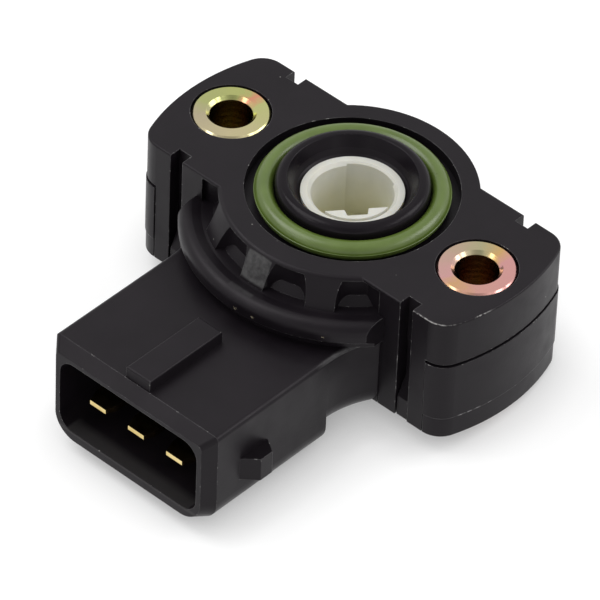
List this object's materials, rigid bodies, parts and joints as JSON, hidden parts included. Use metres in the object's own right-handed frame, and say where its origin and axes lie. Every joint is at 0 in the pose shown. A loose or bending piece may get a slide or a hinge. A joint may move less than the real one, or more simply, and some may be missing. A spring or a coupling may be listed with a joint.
{
  "type": "accelerator pedal position sensor",
  "caption": "Rotary pedal position sensor: black moulded body with a two-hole flange, face seal round a pilot collar, keyed rotor that turns against a spring, and a blade plug socket.",
  "frame": {"origin": "on the rotor axis, in the mounting face, midway between the two mounting holes", "axes": "+Z along the rotor axis out of the mounting face, +X along the line of the mounting holes, -Y out of the plug socket"},
  "size_m": [0.0428, 0.0432, 0.0187],
  "materials": {
    "black_plastic": "fine moulded grain, satin",
    "cover_plastic": "fine moulded grain, satin",
    "plated_steel": "yellow passivated zinc",
    "green_rubber": "satin moulded rubber",
    "ivory_plastic": "natural nylon, slightly translucent",
    "washer_plastic": "smooth sheet",
    "spring_steel": "drawn wire",
    "contact_metal": "plated blade",
    "ceramic": "fired ceramic with printed tracks"
  },
  "bodies": {
    "body": {"housing": "black_plastic", "rear_cover": "cover_plastic", "sleeve_left": "plated_steel", "sleeve_right": "plated_steel", "flange_seal": "green_rubber", "thrust_washer": "washer_plastic", "return_spring": "spring_steel", "resistor_plate": "ceramic", "terminal_1": "contact_metal", "terminal_2": "contact_metal", "terminal_3": "contact_metal"},
    "rotor": {"rotor": "ivory_plastic", "wiper": "contact_metal"}
  },
  "joints": [
    {"name": "rotor_turn", "type": "hinge", "parent": "body", "child": "rotor", "pos_m": [0, 0, 0], "axis": [0, 0, 1], "range_deg": [0, 100], "stiffness_Nm_per_rad": 0.004, "springref_deg": -22.92, "deforming": ["return_spring"]}
  ]
}
